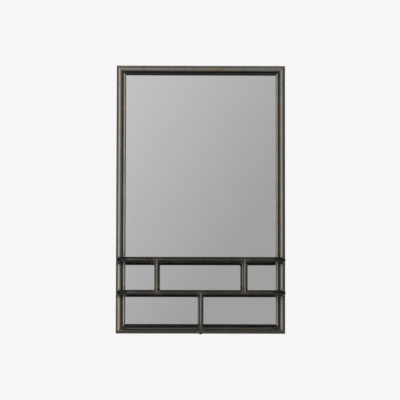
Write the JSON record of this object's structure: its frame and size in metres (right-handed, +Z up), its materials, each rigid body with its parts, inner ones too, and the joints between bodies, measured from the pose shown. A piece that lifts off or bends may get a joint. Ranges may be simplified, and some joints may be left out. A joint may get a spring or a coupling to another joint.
{
  "type": "wall mirror with open rod shelves",
  "caption": "Wall mirror in a mitred round-tube steel frame, with a projecting gallery of bent rods that makes open shelf compartments across its lower part.",
  "frame": {"origin": "on the wall plane, at the middle of the width and at the height of the frame's lowest edge", "axes": "+X to the right as seen from the room, +Y into the wall, +Z up; the mirror faces -Y"},
  "size_m": [0.5, 0.1375, 0.7975],
  "materials": {
    "burnished_steel": "burnished dark patina, satin lacquer, brown and grey clouding",
    "shelf_steel": "burnished dark patina on sheet, satin lacquer",
    "silvered_glass": "polished",
    "hardboard": "pressed fibre, smooth face",
    "foam": "closed-cell foam tape",
    "zinc_plate": "zinc plated",
    "rubber": "matt"
  },
  "bodies": {
    "frame": {"frame_tube_top": "burnished_steel", "frame_tube_bottom": "burnished_steel", "frame_tube_left": "burnished_steel", "frame_tube_right": "burnished_steel", "bead_rod_top": "burnished_steel", "bead_rod_bottom": "burnished_steel", "bead_rod_left": "burnished_steel", "bead_rod_right": "burnished_steel", "upper_rail": "burnished_steel", "lower_rail": "burnished_steel", "post_left": "burnished_steel", "post_right": "burnished_steel", "post_centre": "burnished_steel", "upper_shelf": "shelf_steel", "lower_shelf": "shelf_steel", "mirror_glass": "silvered_glass", "backing_board": "hardboard", "cushion_tape_top": "foam", "cushion_tape_bottom": "foam", "cushion_tape_left": "foam", "cushion_tape_right": "foam", "button_screw_1": "zinc_plate", "button_screw_2": "zinc_plate", "button_screw_3": "zinc_plate", "button_screw_4": "zinc_plate", "button_screw_5": "zinc_plate", "button_screw_6": "zinc_plate", "hanger_left": "zinc_plate", "hanger_right": "zinc_plate", "wall_bumper_1": "rubber", "wall_bumper_2": "rubber", "wall_bumper_3": "rubber", "wall_bumper_4": "rubber"},
    "turn_button_1": {"turn_button_1": "zinc_plate"},
    "turn_button_2": {"turn_button_2": "zinc_plate"},
    "turn_button_3": {"turn_button_3": "zinc_plate"},
    "turn_button_4": {"turn_button_4": "zinc_plate"},
    "turn_button_5": {"turn_button_5": "zinc_plate"},
    "turn_button_6": {"turn_button_6": "zinc_plate"}
  },
  "joints": [
    {"name": "turn_button_1_pivot", "type": "hinge", "parent": "frame", "child": "turn_button_1", "pos_m": [-0.2405, -0.004, 0.1975], "axis": [0, 1, 0], "range_deg": [-90, 90]},
    {"name": "turn_button_2_pivot", "type": "hinge", "parent": "frame", "child": "turn_button_2", "pos_m": [-0.2405, -0.004, 0.5975], "axis": [0, 1, 0], "range_deg": [-90, 90]},
    {"name": "turn_button_3_pivot", "type": "hinge", "parent": "frame", "child": "turn_button_3", "pos_m": [0.2405, -0.004, 0.5975], "axis": [0, -1, 0], "range_deg": [-90, 90]},
    {"name": "turn_button_4_pivot", "type": "hinge", "parent": "frame", "child": "turn_button_4", "pos_m": [0.2405, -0.004, 0.1975], "axis": [0, -1, 0], "range_deg": [-90, 90]},
    {"name": "turn_button_5_pivot", "type": "hinge", "parent": "frame", "child": "turn_button_5", "pos_m": [0, -0.004, 0.7855], "axis": [0, 1, 0], "range_deg": [-90, 90]},
    {"name": "turn_button_6_pivot", "type": "hinge", "parent": "frame", "child": "turn_button_6", "pos_m": [0, -0.004, 0.0095], "axis": [0, 1, 0], "range_deg": [-90, 90]}
  ]
}
